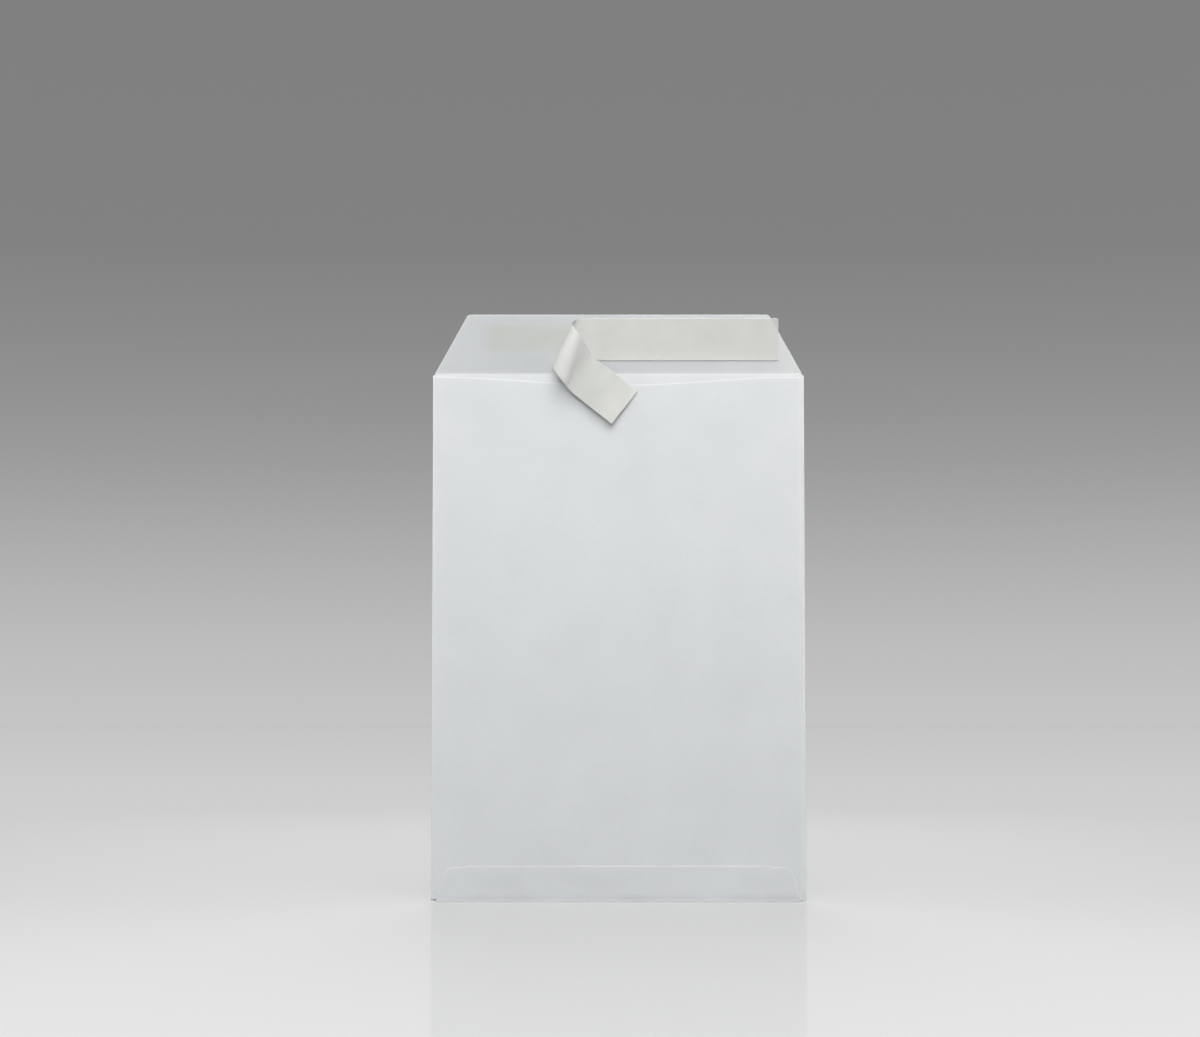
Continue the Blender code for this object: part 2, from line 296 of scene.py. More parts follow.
side_x = fine_ends(SIDE_FLAP_INNER_X, WIDTH / 2 - RIGHT_FOLD_SPAN / 2, SIDE_FLAP_PITCH)
side_stops = (SIDE_FLAP_INNER_X, TAPER_END_X, WIDTH / 2)
side_feet = (SIDE_FLAP_FOOT, SIDE_FLAP_FOOT - SIDE_FLAP_TAPER, BACK_FOOT)
side_tops = (SIDE_FLAP_TOP, SIDE_FLAP_TOP + SIDE_FLAP_TAPER, FOLD_TOP)
side_low = np.interp(side_x, side_stops, side_feet)
side_high = np.interp(side_x, side_stops, side_tops)
side_part = wrap_part(side_x, side_flap_level, side_low, side_high)

# Each side fold is a half round
half_turn = np.linspace(0, pi, 9)
right_radius = RIGHT_FOLD_SPAN / 2
right_x = WIDTH / 2 - right_radius + right_radius * np.sin(half_turn)
right_level = right_radius + right_radius * np.cos(half_turn)
right_low = np.interp(half_turn, (0, pi), (BACK_FOOT, FRONT_FOOT))
right_high = np.interp(half_turn, (0, pi), (FOLD_TOP, FRONT_TOP))
right_part = wrap_part(right_x, right_level, right_low, right_high)

front_x = foot_x + (crest_x - foot_x) * rise
front_z = BOTTOM_CORNER + PAPER / 2 + (CREASE_Z - BOTTOM_CORNER - PAPER / 2) * rise
front_part = upright(front_x, front_z + 0 * front_x, 0.0)

# Two columns between each fold and the front panel
between = np.array((0.3, 0.65))[None, :, None]
right_gap = right_part[:, -1:] + (front_part[:, :1] - right_part[:, -1:]) * between

left_radius = LEFT_FOLD_SPAN / 2
left_x = -WIDTH / 2 + left_radius - left_radius * np.sin(half_turn)
left_level = left_radius - left_radius * np.cos(half_turn)
left_low = np.interp(half_turn, (0, pi), (FRONT_FOOT, BACK_FOOT))
left_high = np.interp(half_turn, (0, pi), (FRONT_TOP, FOLD_TOP))
left_part = wrap_part(left_x, left_level, left_low, left_high)
left_gap = front_part[:, -1:] + (left_part[:, :1] - front_part[:, -1:]) * between

back_x = fine_ends(-WIDTH / 2 + left_radius, BACK_RIGHT_X, PANEL_PITCH)[1:]
back_part = wrap_part(back_x, back_level, BACK_FOOT, throat(back_x))
wrap = np.concatenate(
    (side_part, right_part, right_gap, front_part, left_gap, left_part, back_part), axis=1
)

# The seal flap: up out of the front panel, round the crease as a quadratic curve between its
# two tangents, and up the leaning sheet
bend = np.linspace(0, 1, 15)[:, None]
crease_start = np.array((FRONT_Y, CREASE_Z))
corner_z = FLAP_ORIGIN[2] - (FRONT_Y - FLAP_ORIGIN[1]) / tan(FLAP_LEAN)
crease_corner = np.array((FRONT_Y, corner_z))
crease_end = (FLAP_ORIGIN + FLAP_FOOT * FLAP_UP)[1:]
crease_path = (1 - bend) ** 2 * crease_start + 2 * bend * (1 - bend) * crease_corner
crease_path = crease_path + bend ** 2 * crease_end
crease_y, crease_z = crease_path[:, :1], crease_path[:, 1:]
crease_part = np.stack(np.broadcast_arrays(crest_x, crease_y, crease_z), axis=-1)
flap_share = fine_ends(0, FLAP_DEPTH, SEAL_FLAP_PITCH)[1:, None] / FLAP_DEPTH
flap_up = FLAP_FOOT + (seal_top_up - FLAP_FOOT) * flap_share
flap_x = crest_x + (seal_top_x - crest_x) * flap_share
flap_part = np.concatenate((crease_part, on_flap(flap_x, flap_up, 0.0)))


def bottom_level(x, z):
    """The bottom flap lies on the back panel's outer face."""
    panel = back_level(np.clip(x, -WIDTH / 2, BACK_RIGHT_X), np.maximum(z, BACK_FOOT))
    return panel + PAPER + BOTTOM_FLAP_GAP


# The bottom flap: down its own outer face, a quarter round to the foot, flat under the
# pocket, and a quarter round up into the front panel
bottom_share = fine_ends(BOTTOM_FLAP_TOP, 0, BOTTOM_FLAP_PITCH)[:, None] / BOTTOM_FLAP_TOP
bottom_z = BOTTOM_CORNER + PAPER / 2 + (bottom_top_z - BOTTOM_CORNER - PAPER / 2) * bottom_share
bottom_x = foot_x + (bottom_top_x - foot_x) * bottom_share
bottom_outer = upright(bottom_x, bottom_z, bottom_level(bottom_x, bottom_z))
quarter = np.linspace(0, pi / 2, 6)[1:, None]
foot_level = bottom_level(foot_x, BACK_FOOT + 0 * foot_x)
down_out = foot_level - BOTTOM_CORNER + BOTTOM_CORNER * np.cos(quarter)
down_z = BOTTOM_CORNER + PAPER / 2 - BOTTOM_CORNER * np.sin(quarter) + 0 * foot_x
up_out = BOTTOM_CORNER - BOTTOM_CORNER * np.sin(quarter) + 0 * foot_x
up_z = BOTTOM_CORNER + PAPER / 2 - BOTTOM_CORNER * np.cos(quarter) + 0 * foot_x
under = np.linspace(0, 1, 5)[1:, None]
under_out = foot_level - BOTTOM_CORNER + (2 * BOTTOM_CORNER - foot_level) * under
bottom_part = np.concatenate((
    bottom_outer,
    upright(foot_x, down_z, down_out),
    upright(foot_x, PAPER / 2, under_out),
    upright(foot_x, up_z, up_out),
))

# Where the sheet shows lighter or darker than plain: each tone is times a glow with its reach in
# mm. A cut edge catches the light in a line too thin for the render, so a painted highlight about
# 0.5 mm wide stands for it, and so for a fold's crest, with a fainter painted highlight reaching
# about 9 mm in from the fold
wrap_x, wrap_z = wrap[..., 0], wrap[..., 2]
from_fold = WIDTH / 2 - np.abs(wrap_x)
fold_crest_highlight = 0.6 * glow(from_fold, 0.5) + 0.22 * glow(from_fold, 9)
throat_edge_highlight = 0.9 * glow(throat(wrap_x) - wrap_z, 0.5)
seam_edge_highlight = 0.7 * glow(BACK_RIGHT_X - wrap_x, 0.4)
lit_crease = 0.25 * glow(HEIGHT - wrap_z, 8)
# The closure side is a touch greyer in its lower part: painted shade, where the light falls off
# towards the foot, which the paper's tone carries. What makes it so isn't known, so the paper's
# tone carries it
SHADE_BELOW = 0.12
greyer = np.interp(wrap_z, (0, 130, 230), (SHADE_BELOW, SHADE_BELOW, 0.0))
columns = np.arange(wrap.shape[1])
on_back = columns >= wrap.shape[1] - back_part.shape[1]
on_front = (columns >= side_part.shape[1] + right_part.shape[1]) & ~on_back
# The folds' painted highlights are strongest at the top, where the light falls, and a quarter as
# strong at the foot
wrap_tone = fold_crest_highlight * (0.25 + 0.75 * wrap_z / HEIGHT)
wrap_tone = wrap_tone + on_back * throat_edge_highlight + on_back * seam_edge_highlight
wrap_tone = wrap_tone + on_front * lit_crease - on_back * greyer

flap_height = np.concatenate((np.zeros((len(crease_part), 1)), flap_share)) * FLAP_DEPTH
narrowing = (crest_x[0] - seal_top_x[0]) * (1 - flap_height / FLAP_DEPTH)
from_side = np.abs(flap_part[..., 0]) - np.abs(seal_top_x[0]) - narrowing
# Painted highlights along the flap's cut top and sides, and along its crease, where these catch the
# light
flap_tone = 0.8 * glow(FLAP_DEPTH - flap_height, 0.5) + 0.5 * glow(from_side, 0.6)
flap_tone = flap_tone + 0.5 * glow(flap_height, 0.5)
# The flap is a touch greyer round the bare adhesive than at its right end: painted shade and light
# across it, which the tone carries too, as places across the flap in mm and a tone at each
FLAP_TONE_X = (-113, -100, -72, -45, 0, 40, 95, 113)
FLAP_LIGHT_AND_SHADE = (0.1, 0.0, -0.22, -0.22, -0.05, 0.1, 0.3, 0.6)
flap_tone = flap_tone + np.interp(flap_part[..., 0], FLAP_TONE_X, FLAP_LIGHT_AND_SHADE)

under_rows = len(bottom_part) - len(bottom_share)
bottom_along = bottom_part[..., 0]
bottom_height = np.concatenate((bottom_share * BOTTOM_FLAP_TOP, np.zeros((under_rows, 1))))
bottom_half = foot_x[0] + (bottom_top_x[0] - foot_x[0]) * bottom_height / BOTTOM_FLAP_TOP
# Painted highlights along the bottom flap's cut top and sides, where these catch the light
bottom_top_edge_highlight = 0.9 * glow(BOTTOM_FLAP_TOP - bottom_height, 0.45)
bottom_side_edge_highlight = 0.7 * glow(np.abs(bottom_along) - bottom_half, 0.5)
# A painted highlight along the bottom fold, where it catches the light, and a broken line of
# painted shade for a crease 2 mm above it
foot_fold_highlight = 0.9 * glow(bottom_height, 0.35)
broken = 0.55 + 0.25 * np.sin(bottom_along / 13.0 + 0.7) + 0.2 * np.sin(bottom_along / 5.1)
crease_shade = 0.75 * broken * glow(bottom_height - 2.0, 1.0)
# The glue behind shows as faint patches in a band round 12 mm up
blotches = np.sin(bottom_along / 17.0 + 2.2) * np.sin(bottom_along / 41.0 + 0.9)
ripples = 0.2 * np.sin(bottom_height / 3.0 + bottom_along / 9.0)
glue_band = np.exp(-((bottom_height - 12.0) / 6.0) ** 2)
seen_glue = 0.22 * np.clip(blotches + ripples, 0, 1) * glue_band
bottom_tone = bottom_top_edge_highlight + bottom_side_edge_highlight + foot_fold_highlight - crease_shade - SHADE_BELOW - seen_glue


def wove_paper(name, plain, light, dark):
    """Smooth white wove paper: bleached pulp, filled and calendered.

    The eye gets a matt sheet with faint clouds 40 mm across where the pulp settled
    unevenly, flecks of 3 mm, and fibres under 1 mm that only roughen its light. The mesh's
    tone adds painted highlights on the cut edges, folds and creases, painted shade in a crease
    line, soft painted light and shade, and the glue that shows through.
    """
    material = bpy.data.materials.new(name)
    material.use_nodes = True
    tree = material.node_tree
    shader = tree.nodes["Principled BSDF"]
    place = add_node(tree, "ShaderNodeTexCoord", {}).outputs["Object"]
    clouds = add_node(tree, "ShaderNodeTexNoise", {
        "Vector": place, "Scale": 1 / 0.040, "Detail": 2.0,
    })
    flecks = add_node(tree, "ShaderNodeTexNoise", {
        "Vector": place, "Scale": 1 / 0.003, "Detail": 3.0,
    })
    fibres = add_node(tree, "ShaderNodeTexNoise", {
        "Vector": place, "Scale": 1 / 0.0006, "Detail": 2.0,
    })
    tone = add_node(tree, "ShaderNodeAttribute", {}, attribute_name="tone").outputs["Fac"]
    # Noise keeps mostly within 0.3 and 0.7
    cloudy = add_node(tree, "ShaderNodeMapRange", {
        "Value": clouds.outputs["Fac"],
        "From Min": 0.3, "From Max": 0.7, "To Min": -0.09, "To Max": 0.09,
    }).outputs[0]
    flecked = add_node(tree, "ShaderNodeMapRange", {
        "Value": flecks.outputs["Fac"],
        "From Min": 0.3, "From Max": 0.7, "To Min": -0.04, "To Max": 0.04,
    }).outputs[0]
    mottle = add_node(tree, "ShaderNodeMath", {0: cloudy, 1: flecked}, operation="ADD").outputs[0]
    total = add_node(tree, "ShaderNodeMath", {0: mottle, 1: tone}, operation="ADD").outputs[0]
    shade = add_node(tree, "ShaderNodeMapRange", {
        "Value": total, "From Min": -1.0, "From Max": 1.0,
    })
    ramp = add_node(tree, "ShaderNodeValToRGB", {0: shade.outputs[0]})
    ramp.color_ramp.elements[0].color = linear(dark)
    ramp.color_ramp.elements[1].color = linear(light)
    ramp.color_ramp.elements.new(0.5).color = linear(plain)
    bump = add_node(tree, "ShaderNodeBump", {
        "Height": fibres.outputs["Fac"], "Strength": 0.25, "Distance": 0.00003,
    })
    tree.links.new(ramp.outputs["Color"], shader.inputs["Base Color"])
    tree.links.new(bump.outputs["Normal"], shader.inputs["Normal"])
    shader.inputs["Roughness"].default_value = 0.75
    shader.inputs["IOR"].default_value = 1.45
    shader.inputs["Specular IOR Level"].default_value = 0.3
    return material


blank = put_mesh(
    "paper_blank",
    [wrap, flap_part, bottom_part],
    wove_paper("white_wove_paper", "E6E9EB", "FBFCFC", "CDD0D0"),
    PAPER,
    [wrap_tone, flap_tone, bottom_tone],
)
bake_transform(blank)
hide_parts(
    "front_panel", "left_fold", "back_panel", "right_fold",
    "side_flap", "bottom_fold", "bottom_flap", "seal_flap",
)

# The glue in the side seam and the bottom seam: white dextrin glue, laid wet in a line
# by a roller and dried to a thin hard film between two layers of paper.
GLUE_FILM = 0.04
SIDE_GLUE_FROM_X = 103.3
SIDE_GLUE_TO_X = 108.3
SIDE_GLUE_FOOT = 15.0
SIDE_GLUE_TOP = 302.0
SIDE_GLUE_GAP = 0.025
BOTTOM_GLUE_HALF = 100.0
BOTTOM_GLUE_FOOT = 8.2
BOTTOM_GLUE_TOP = 17.2
BOTTOM_GLUE_GAP = 0.03
SIDE_GLUE_WANDER = 0.25
BOTTOM_GLUE_WANDER = 0.3


def dried_glue(name):
    """Dried dextrin glue: a thin yellowish film with the roller's streaks, 2 mm wide, in it."""
    material = bpy.data.materials.new(name)
    material.use_nodes = True
    tree = material.node_tree
    shader = tree.nodes["Principled BSDF"]
    place = add_node(tree, "ShaderNodeTexCoord", {}).outputs["Object"]
    streaks = add_node(tree, "ShaderNodeTexNoise", {
        "Vector": place, "Scale": 1 / 0.002, "Detail": 2.0,
    })
    ramp = add_node(tree, "ShaderNodeValToRGB", {0: streaks.outputs["Fac"]})
    ramp.color_ramp.elements[0].color = linear("D6D6CC")
    ramp.color_ramp.elements[1].color = linear("E4E4DC")
    tree.links.new(ramp.outputs["Color"], shader.inputs["Base Color"])
    shader.inputs["Roughness"].default_value = 0.4
    return material


seam_glue = dried_glue("dried_dextrin_glue")
# Each line wanders a little from side to side along its length, as a sine
glue_z = np.linspace(SIDE_GLUE_FOOT, SIDE_GLUE_TOP, 120)[:, None]
glue_x = np.linspace(SIDE_GLUE_FROM_X, SIDE_GLUE_TO_X, 5)[None, :]
glue_x = glue_x + SIDE_GLUE_WANDER * np.sin(glue_z / 7.0)
glue_level = back_level(glue_x, glue_z) - PAPER / 2 - SIDE_GLUE_GAP
side_glue = put_mesh(
    "side_seam_glue_film", [upright(glue_x, glue_z, glue_level)], seam_glue, GLUE_FILM
)
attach(side_glue, "pocket")
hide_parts("side_seam_glue")

glue_x = np.linspace(-BOTTOM_GLUE_HALF, BOTTOM_GLUE_HALF, 120)[None, :]
glue_z = np.linspace(BOTTOM_GLUE_FOOT, BOTTOM_GLUE_TOP, 8)[:, None]
glue_z = glue_z + BOTTOM_GLUE_WANDER * np.sin(glue_x / 6.0)
glue_level = back_level(glue_x, glue_z) + PAPER / 2 + BOTTOM_GLUE_GAP
bottom_glue = put_mesh(
    "bottom_seam_glue_film", [upright(glue_x, glue_z, glue_level)], seam_glue, GLUE_FILM
)
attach(bottom_glue, "pocket")
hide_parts("bottom_seam_glue")

# The adhesive strip: a band of clear pressure-sensitive adhesive, 21.8 x 179 mm, coated
# on the flap's inner face under the release liner.
ADHESIVE_FOOT = 11.2
ADHESIVE_TOP = 33.0
ADHESIVE_HALF = 89.5
ADHESIVE_FILM = 0.02
ADHESIVE_LEVEL = 0.05
ADHESIVE_COAT = 0.045
COAT_FADE_SIDE = 14.0
COAT_FADE_FOOT = 5.0
COAT_FADE_TOP = 3.5


def smooth_step(share):
    """A share from 0 to 1 eased at both ends: three times its square less twice its cube."""
    return share * share * (3 - 2 * share)


def tacky_film(name):
    """Hot-melt adhesive: clear and faintly yellow, soft streaks where it was coated.

    The streaks are 6 mm wide and drawn out four times along the strip. The coat thins out
    towards every side, and there the paper's own white shows through.
    """
    material = bpy.data.materials.new(name)
    material.use_nodes = True
    tree = material.node_tree
    shader = tree.nodes["Principled BSDF"]
    place = add_node(tree, "ShaderNodeTexCoord", {}).outputs["Object"]
    stretched = add_node(tree, "ShaderNodeMapping", {"Vector": place, "Scale": (0.25, 1.0, 1.0)})
    streaks = add_node(tree, "ShaderNodeTexNoise", {
        "Vector": stretched.outputs[0], "Scale": 1 / 0.006, "Detail": 3.0,
    })
    streaky = add_node(tree, "ShaderNodeMapRange", {
        "Value": streaks.outputs["Fac"],
        "From Min": 0.3, "From Max": 0.7, "To Min": 0.75, "To Max": 1.0,
    }).outputs[0]
    coat = add_node(tree, "ShaderNodeAttribute", {}, attribute_name="tone").outputs["Fac"]
    shown = add_node(tree, "ShaderNodeMath", {0: streaky, 1: coat}, operation="MULTIPLY")
    ramp = add_node(tree, "ShaderNodeValToRGB", {0: shown.outputs[0]})
    ramp.color_ramp.elements[0].position = 0.15
    ramp.color_ramp.elements[0].color = linear("E2E5E7")
    ramp.color_ramp.elements[1].color = linear("DBDED8")
    bump = add_node(tree, "ShaderNodeBump", {
        "Height": streaks.outputs["Fac"], "Strength": 0.2, "Distance": 0.0001,
    })
    tree.links.new(ramp.outputs["Color"], shader.inputs["Base Color"])
    tree.links.new(bump.outputs["Normal"], shader.inputs["Normal"])
    shader.inputs["Roughness"].default_value = 0.6
    shader.inputs["IOR"].default_value = 1.48
    return material


band_x = fine_ends(-ADHESIVE_HALF, ADHESIVE_HALF, 1.5)[None, :]
band_up = fine_ends(ADHESIVE_FOOT, ADHESIVE_TOP, 1.0)[:, None]
coat = np.clip((ADHESIVE_HALF - np.abs(band_x)) / COAT_FADE_SIDE, 0, 1)
coat = coat * np.clip((band_up - ADHESIVE_FOOT) / COAT_FADE_FOOT, 0, 1)
coat = smooth_step(coat * np.clip((ADHESIVE_TOP - band_up) / COAT_FADE_TOP, 0, 1))
adhesive = put_mesh(
    "adhesive_strip",
    [on_flap(band_x, band_up, ADHESIVE_LEVEL + ADHESIVE_COAT * coat)[:, ::-1]],
    tacky_film("hot_melt_adhesive"),
    ADHESIVE_FILM,
    [coat[:, ::-1]],
)
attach(adhesive, "closing_flap")
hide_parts("seal_adhesive")

# The release liner: a strip of thin glazed paper, silicone-coated on its inner face. Its
# right half is still stuck down. Its left half was peeled off and springs back in a curl
# that crosses the throat, each stretch of it bending across one of the frame's hinges.
LINER = 0.08
LINER_LEVEL = 0.69
LINER_HALF_WIDTH = 13.25
LINER_MIDDLE = 21.65
LINER_RIGHT = 98.4
LIFT_X = -13.6
TAIL_LENGTH = 86.0

# The stuck half's level on the flap, where its peeled end starts to lift, and its loose margin
STUCK_LEVEL = 0.24
LIFT_FROM_X = 6.0
LOOSE_BELOW = 7.0
LOOSE_WIDTH = 6.0
LOOSE_SHARE = 0.8

# How the peeled part curls: mm along it from where it lifts, how sharply it bends there in
# degrees per mm, and how far the bend's line leans from square across the strip in degrees
CURL = np.array((
    (0.0, 3.62, -0.4),
    (4.0, 0.35, 0.6),
    (9.0, -0.40, 10.8),
    (14.0, 3.46, 22.1),
    (19.0, 8.26, 26.0),
    (24.0, 9.73, 25.5),
    (29.0, 9.53, 22.7),
    (34.0, 9.24, 30.6),
    (39.0, 6.54, 32.0),
    (44.0, -2.33, 18.2),
    (49.0, -4.98, 4.7),
    (55.0, -3.54, 5.6),
    (62.0, -0.79, 7.4),
    (70.0, 0.28, 4.4),
    (86.0, -0.18, 0.4),
))
# Where the peeled part is cut, in mm along it, so that each stretch holds one of the frame's
# hinges, and where the last stretch has done its bending
CUTS = (0.0, 8.7, 19.05, 26.35, 33.65, 41.75, 49.5, 86.0)
LAST_BEND_END = 56.1
STRETCHES = 7
STRETCH_ROWS = 33


def turned_by(axis, angle):
    """The rotation matrix about a unit axis, by Rodrigues' formula."""
    x, y, z = axis
    cross = np.array(((0, -z, y), (z, 0, -x), (-y, x, 0)))
    return np.eye(3) + sin(angle) * cross + (1 - cos(angle)) * cross @ cross


def bend_so_far(along):
    """The total turn up to each distance: the bending's running sum, by the trapezium rule."""
    bending = np.radians(np.interp(along, CURL[:, 0], CURL[:, 1]))
    return np.concatenate(([0], np.cumsum((bending[1:] + bending[:-1]) / 2 * np.diff(along))))


def peeled_strip(along, across):
    """The curled strip as a surface of two parameters.

    Each row is a straight line across the flat strip, leaning by its slant. The strip is
    bent along every row in turn, so each row lies where the turns of the rows before it
    have carried the flat strip, which stays unstretched.
    """
    slant = np.radians(np.interp(along, CURL[:, 0], CURL[:, 2]))
    turned = bend_so_far(along)
    turns = np.diff(np.concatenate((turned[:1], (turned[1:] + turned[:-1]) / 2, turned[-1:])))
    rows = []
    rotation, shift = np.eye(3), np.zeros(3)
    for place, lean, turn in zip(along, slant, turns):
        flat_x = LIFT_X - place + across * tan(lean)
        flat = np.stack((flat_x, LINER_MIDDLE + across, LINER_LEVEL + 0 * across), axis=-1)
        rows.append(flat @ rotation.T + shift)
        centre = np.array((LIFT_X - place, LINER_MIDDLE, LINER_LEVEL))
        here = turned_by((sin(lean), cos(lean), 0.0), turn)
        shift = rotation @ (centre - here @ centre) + shift
        rotation = rotation @ here
    strip = np.array(rows)
    return on_flap(strip[..., 0], strip[..., 1], strip[..., 2])


def glazed_paper(name):
    """Glazed release paper: dense and slightly green-grey, smooth with a soft sheen.

    It is thin enough for its own pulp clouds to show, drawn 14 mm across. The mesh's tone
    adds painted highlights on the cut edges, and painted shade and light along the curl, where the
    lamps don't give it.
    """
    material = bpy.data.materials.new(name)
    material.use_nodes = True
    tree = material.node_tree
    shader = tree.nodes["Principled BSDF"]
    place = add_node(tree, "ShaderNodeTexCoord", {}).outputs["Object"]
    clouds = add_node(tree, "ShaderNodeTexNoise", {
        "Vector": place, "Scale": 1 / 0.014, "Detail": 3.0,
    })
    fibres = add_node(tree, "ShaderNodeTexNoise", {
        "Vector": place, "Scale": 1 / 0.0008, "Detail": 2.0,
    })
    tone = add_node(tree, "ShaderNodeAttribute", {}, attribute_name="tone").outputs["Fac"]
    cloudy = add_node(tree, "ShaderNodeMapRange", {
        "Value": clouds.outputs["Fac"],
        "From Min": 0.3, "From Max": 0.7, "To Min": -0.12, "To Max": 0.12,
    }).outputs[0]
    total = add_node(tree, "ShaderNodeMath", {0: cloudy, 1: tone}, operation="ADD").outputs[0]
    shade = add_node(tree, "ShaderNodeMapRange", {
        "Value": total, "From Min": -1.0, "From Max": 1.0,
    })
    ramp = add_node(tree, "ShaderNodeValToRGB", {0: shade.outputs[0]})
    ramp.color_ramp.elements[0].color = linear("C2C4BE")
    ramp.color_ramp.elements[1].color = linear("FBFCF9")
    ramp.color_ramp.elements.new(0.5).color = linear("E9EAE5")
    bump = add_node(tree, "ShaderNodeBump", {
        "Height": fibres.outputs["Fac"], "Strength": 0.2, "Distance": 0.00002,
    })
    tree.links.new(ramp.outputs["Color"], shader.inputs["Base Color"])
    tree.links.new(bump.outputs["Normal"], shader.inputs["Normal"])
    shader.inputs["Roughness"].default_value = 0.55
    shader.inputs["IOR"].default_value = 1.45
    return material


liner_paper = glazed_paper("glazed_release_paper")
across = fine_ends(-LINER_HALF_WIDTH, LINER_HALF_WIDTH, 1.2)


def liner_stuck(x, across):
    """The stuck half, down on the adhesive.

    Its peeled end rises by a smooth step to where it lifts off, and its lower margin, which
    overhangs the adhesive, by a square.
    """
    x, across = np.broadcast_arrays(x, across)
    lift = smooth_step(np.clip((LIFT_FROM_X - x) / (LIFT_FROM_X - LIFT_X), 0, 1))
    loose = np.clip((-LOOSE_BELOW - across) / LOOSE_WIDTH, 0, 1)
    raised = np.maximum(lift, LOOSE_SHARE * loose * loose)
    level = STUCK_LEVEL + (LINER_LEVEL - STUCK_LEVEL) * raised
    return on_flap(x, LINER_MIDDLE + across, level)


along = [np.linspace(a, b, STRETCH_ROWS + 1)[:-1] for a, b in zip(CUTS[:-2], CUTS[1:-1])]
along = np.concatenate((*along, fine_ends(CUTS[-2], CUTS[-1], 1.0)))
strip = peeled_strip(along, across)
stuck_x = fine_ends(LINER_RIGHT, LIFT_X, 1.2)[:-1, None]
stuck = liner_stuck(stuck_x, across)

# Where the liner shows lighter or darker than plain. The lamps here don't give all of the
# photo's shade along the curl, so the tone makes up the rest: from lighter to greyer along it,
# and at the bend sooner along the lower edge than the upper
from_edge = LINER_HALF_WIDTH - np.abs(across)
CURL_SHADE_ALONG = (0, 6, 14, 26, 34, 44, 52, 60, 70, 86)
CURL_SHADE = (0, 0, 0.05, 0.15, 0.5, 0.5, -0.2, -0.65, -0.65, -0.35)
# Painted highlights along the strip's cut edges and its tip, where these catch the light
strip_tone = 0.12 * glow(from_edge, 0.4) + 0.2 * glow(TAIL_LENGTH - along, 0.4)[:, None]
strip_tone = strip_tone + np.interp(along, CURL_SHADE_ALONG, CURL_SHADE)[:, None]
upper = np.clip(across / LINER_HALF_WIDTH, -1, 1)
bend_low = np.interp(along, (14, 22, 30, 38), (0.0, 0.55, 0.55, 0.0))[:, None]
bend_high = np.interp(along, (26, 33, 42, 50), (0.0, 0.5, 0.5, 0.0))[:, None]
strip_tone = strip_tone + bend_low * np.minimum(upper, 0) + bend_high * np.maximum(upper, 0)
# Nothing but shade lies behind the corner that sticks out past the flap's slanted side
# Painted highlights along the stuck half's cut edges and its right end
stuck_tone = 0.1 * glow(from_edge, 0.4) + 0.15 * glow(LINER_RIGHT - stuck_x, 0.4)
slanted = (FLAP_FOOT_HALF - FLAP_TOP_HALF) * (LINER_MIDDLE + across) / FLAP_DEPTH
past_flap = stuck_x - FLAP_FOOT_HALF + slanted
stuck_tone = stuck_tone - 0.45 * np.clip(past_flap + 0.5, 0, 1)

for number in range(1, STRETCHES + 1):
    first = STRETCH_ROWS * (number - 1)
    last = STRETCH_ROWS * number + 1 if number < STRETCHES else len(along)
    bent = last - 1 if number < STRETCHES else np.abs(along - LAST_BEND_END).argmin()
    stretch = strip[first:last]
    stretch_tone = strip_tone[first:last]
    replaced = [f"liner_tail_{number}"]
    name = f"peeled_liner_{number}"
    if number == 1:
        stretch = np.concatenate((stuck, stretch))
        stretch_tone = np.concatenate((stuck_tone, stretch_tone))
        replaced = ["release_liner", "liner_tail_1"]
        name = "stuck_liner"
    piece = put_mesh(name, [stretch], liner_paper, LINER, [stretch_tone])
    # The line across the stretch, from its first and its last bent rows, and its way along, square
    # to that line
    first_row, last_row = strip[first], strip[bent]
    line = (first_row[-1] - first_row[0]) + (last_row[-1] - last_row[0])
    line = line / np.linalg.norm(line)
    way = last_row.mean(0) - first_row.mean(0)
    way = way - (way @ line) * line
    way = way / np.linalg.norm(way)
    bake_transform(piece)
    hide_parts(*replaced)

# The floor: a sheet of polished white acrylic, laid flat under the envelope, in metres.
# A grey glow, which the camera alone sees, evens out the lamps' light on it in a soft ramp:
# far off it meets the sweep's lowest grey, it is least at the envelope, where the lamps light
# the floor most, and the front is palest. Pairs of the distance along y and a linear grey.
FLOOR_GLOW = ((30.0, 0.43), (2.0, 0.48), (0.0, 0.4), (-1.0, 0.55))
FLOOR_WHITE = 0.35
FLOOR_GLOSS = 0.13
FLOOR_ROUGHNESS = 0.03

floor_mesh = bpy.data.meshes.new("floor")
floor_mesh.from_pydata([(-30, -30, 0), (30, -30, 0), (30, 60, 0), (-30, 60, 0)], [], [(0, 1, 2, 3)])
floor = bpy.data.objects.new("floor", floor_mesh)
bpy.context.scene.collection.objects.link(floor)

floor_material = bpy.data.materials.new("polished_acrylic_floor")
floor_material.use_nodes = True
tree = floor_material.node_tree
tree.nodes.clear()
place = add_node(tree, "ShaderNodeTexCoord", {}).outputs["Object"]
y = add_node(tree, "ShaderNodeSeparateXYZ", {0: place}).outputs["Y"]
